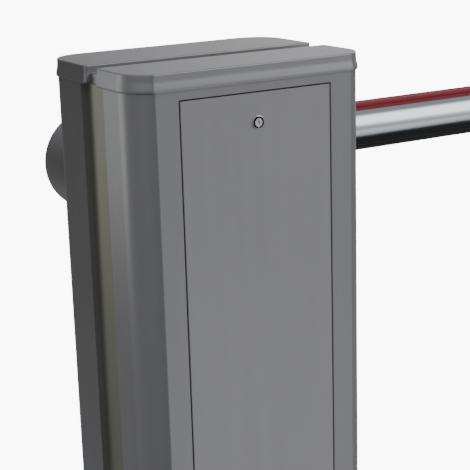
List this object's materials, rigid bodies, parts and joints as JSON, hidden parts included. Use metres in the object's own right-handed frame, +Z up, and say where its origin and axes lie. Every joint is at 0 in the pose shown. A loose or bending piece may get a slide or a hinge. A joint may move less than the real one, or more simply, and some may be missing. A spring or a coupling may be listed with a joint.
{
  "type": "parking barrier gate",
  "caption": "Grey sheet-steel barrier cabinet with capped twin shells, a lockable tilting door and a sprung, motor-driven aluminium boom on a round rear hub.",
  "frame": {"origin": "centre of the anchor hole pattern on the underside of the base plate, which stands on the ground", "axes": "+Z up; +X along the lowered boom, away from the hub; -Y towards the door side"},
  "size_m": [2.769, 0.4055, 1.12],
  "materials": {
    "cabinet_paint": "semi-gloss powder coat",
    "channel_paint": "satin powder coat",
    "zinc_steel": "zinc plated",
    "machined_steel": "turned",
    "cast_alloy": "sand cast",
    "boom_aluminium": "polished extrusion",
    "lock_chrome": "bright",
    "brass": "satin",
    "red_rubber": "matt",
    "black_rubber": "matt",
    "spring_steel": "black lacquer",
    "motor_paint": "satin",
    "grey_plastic": "fine texture",
    "black_plastic": "fine texture",
    "red_plastic": "gloss",
    "board_green": "solder mask"
  },
  "bodies": {
    "cabinet": {"base_plate": "zinc_steel", "left_upright": "channel_paint", "right_upright": "channel_paint", "top_plate": "zinc_steel", "front_shell": "cabinet_paint", "rear_shell": "cabinet_paint", "front_cap": "cabinet_paint", "rear_cap": "cabinet_paint", "bridge_cap": "cabinet_paint", "cap_studs": "zinc_steel", "frame_bolts": "zinc_steel", "earth_stud": "brass", "door_gasket": "black_rubber", "frame_knuckles": "zinc_steel", "hinge_pins": "machined_steel", "mechanism_plate": "zinc_steel", "bearing_housing": "cast_alloy", "front_bearing": "machined_steel", "rear_bearing": "machined_steel", "shaft_seal": "black_rubber", "stop_bolts": "zinc_steel", "stop_buffers": "black_rubber", "spring_bracket": "zinc_steel", "eye_bolts": "zinc_steel", "tension_nuts": "zinc_steel", "front_spring": "spring_steel", "rear_spring": "spring_steel", "gearbox": "cast_alloy", "motor": "motor_paint", "motor_fan_cover": "motor_paint", "motor_terminal_box": "motor_paint", "control_box": "grey_plastic", "control_lid": "grey_plastic", "control_board": "board_green", "transformer": "machined_steel", "capacitor": "grey_plastic", "cable_glands": "black_plastic"},
    "boom": {"boom_shaft": "machined_steel", "shaft_end_bolt": "zinc_steel", "balance_lever": "zinc_steel", "spring_pin": "machined_steel", "lever_rod_pin": "machined_steel", "hub_flange": "cast_alloy", "boom_straps": "zinc_steel", "strap_bolts": "zinc_steel", "hub_cover": "cabinet_paint", "boom_tube": "boom_aluminium", "top_strip": "red_rubber", "bottom_strip": "black_rubber", "boom_tip": "black_rubber"},
    "rod": {"tie_rod": "zinc_steel"},
    "crank": {"output_crank": "zinc_steel", "crank_pin": "machined_steel"},
    "door": {"door_panel": "cabinet_paint", "door_knuckles": "zinc_steel", "lock_body": "lock_chrome", "lock_nut": "zinc_steel"},
    "lock": {"lock_cylinder": "lock_chrome", "lock_cam": "zinc_steel"},
    "release": {"release_knob": "red_plastic"}
  },
  "joints": [
    {"name": "boom_lift", "type": "hinge", "parent": "cabinet", "child": "boom", "pos_m": [-0.095, 0, 0.93], "axis": [0, -1, 0], "range_deg": [0, 90], "deforming": ["front_spring", "rear_spring"]},
    {"name": "crank_turn", "type": "hinge", "parent": "cabinet", "child": "crank", "pos_m": [-0.095, 0, 0.61], "axis": [0, -1, 0], "range_deg": [0, 90]},
    {"name": "rod_swing", "type": "hinge", "parent": "boom", "child": "rod", "pos_m": [-0.03843, 0, 0.87343], "axis": [0, -1, 0], "range_deg": [-90, 0]},
    {"name": "door_tilt", "type": "hinge", "parent": "cabinet", "child": "door", "pos_m": [0, -0.1565, 0.0805], "axis": [1, 0, 0], "range_deg": [0, 90]},
    {"name": "lock_turn", "type": "hinge", "parent": "door", "child": "lock", "pos_m": [0, -0.15, 1.034], "axis": [0, -1, 0], "range_deg": [0, 90]},
    {"name": "release_turn", "type": "hinge", "parent": "cabinet", "child": "release", "pos_m": [0, 0.0305, 0.61], "axis": [1, 0, 0], "range_deg": [0, 90]}
  ],
  "couplings": [
    {"joint": "crank_turn", "follows": "boom_lift", "ratio": 1},
    {"joint": "rod_swing", "follows": "boom_lift", "ratio": -1}
  ]
}
